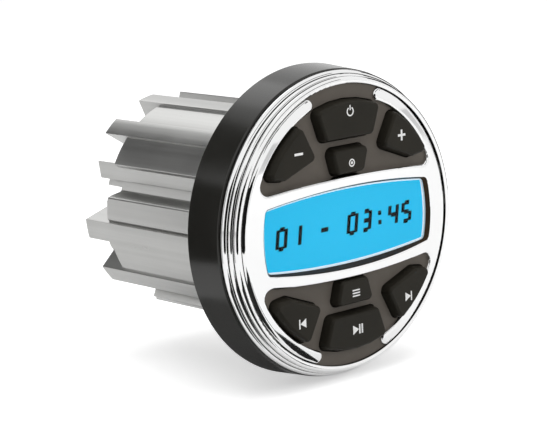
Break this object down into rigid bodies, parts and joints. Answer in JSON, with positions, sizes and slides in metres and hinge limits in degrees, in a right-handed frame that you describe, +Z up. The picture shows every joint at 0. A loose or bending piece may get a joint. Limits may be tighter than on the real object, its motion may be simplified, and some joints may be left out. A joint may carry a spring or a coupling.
{
  "type": "marine stereo",
  "caption": "Round panel-mount marine stereo with a domed chrome face, blue display, rubber keys and a finned aluminium body behind the panel.",
  "frame": {"origin": "on the axis of the round body, in the plane where the flange gasket meets the panel", "axes": "+Y back through the panel towards the cable outlet, +Z up, +X to the right seen from the front"},
  "size_m": [0.099, 0.0931, 0.099],
  "materials": {
    "sink_aluminium": "satin extruded",
    "black_plastic": "fine matte",
    "chrome": "bright plated",
    "key_rubber": "smooth matte",
    "keypad_rubber": "matte",
    "gasket_rubber": "matte",
    "steel": "plain",
    "rear_metal": "black coated",
    "clear_lens": "clear",
    "display": "lit blue",
    "light_guide": "frosted",
    "white_plastic": "moulded",
    "circuit_board": "solder mask",
    "chip_plastic": "moulded",
    "contact_metal": "plain",
    "capacitor_sleeve": "sleeve",
    "thermal_pad": "soft"
  },
  "bodies": {
    "stereo": {"heat_sink": "sink_aluminium", "rear_gasket": "gasket_rubber", "rear_plate": "rear_metal", "rear_screws": "steel", "cable_grommet": "gasket_rubber", "front_housing": "black_plastic", "mounting_collar": "black_plastic", "panel_gasket": "gasket_rubber", "sink_seal": "gasket_rubber", "sink_screws": "steel", "bezel_screws": "steel", "chrome_ring": "chrome", "face_plate": "chrome", "front_frame": "black_plastic", "upper_keypad": "keypad_rubber", "lower_keypad": "keypad_rubber", "display_lens": "clear_lens", "display_glass": "display", "light_guide": "light_guide", "display_tray": "white_plastic", "control_board": "circuit_board", "dome_switches": "contact_metal", "control_chip": "chip_plastic", "board_connector": "white_plastic", "main_board": "circuit_board", "amplifier_chip": "chip_plastic", "thermal_pad": "thermal_pad", "capacitors": "capacitor_sleeve", "tuner_module": "steel"},
    "volume_down_button": {"volume_down_button": "key_rubber"},
    "power_button": {"power_button": "key_rubber"},
    "select_button": {"select_button": "key_rubber"},
    "volume_up_button": {"volume_up_button": "key_rubber"},
    "previous_button": {"previous_button": "key_rubber"},
    "mode_button": {"mode_button": "key_rubber"},
    "play_button": {"play_button": "key_rubber"},
    "next_button": {"next_button": "key_rubber"}
  },
  "joints": [
    {"name": "volume_down_press", "type": "slide", "parent": "stereo", "child": "volume_down_button", "axis": [0, 1, 0], "range_m": [0, 0.0012], "stiffness_N_per_m": 600},
    {"name": "power_press", "type": "slide", "parent": "stereo", "child": "power_button", "axis": [0, 1, 0], "range_m": [0, 0.0012], "stiffness_N_per_m": 600},
    {"name": "select_press", "type": "slide", "parent": "stereo", "child": "select_button", "axis": [0, 1, 0], "range_m": [0, 0.0012], "stiffness_N_per_m": 600},
    {"name": "volume_up_press", "type": "slide", "parent": "stereo", "child": "volume_up_button", "axis": [0, 1, 0], "range_m": [0, 0.0012], "stiffness_N_per_m": 600},
    {"name": "previous_press", "type": "slide", "parent": "stereo", "child": "previous_button", "axis": [0, 1, 0], "range_m": [0, 0.0012], "stiffness_N_per_m": 600},
    {"name": "mode_press", "type": "slide", "parent": "stereo", "child": "mode_button", "axis": [0, 1, 0], "range_m": [0, 0.0012], "stiffness_N_per_m": 600},
    {"name": "play_press", "type": "slide", "parent": "stereo", "child": "play_button", "axis": [0, 1, 0], "range_m": [0, 0.0012], "stiffness_N_per_m": 600},
    {"name": "next_press", "type": "slide", "parent": "stereo", "child": "next_button", "axis": [0, 1, 0], "range_m": [0, 0.0012], "stiffness_N_per_m": 600}
  ]
}
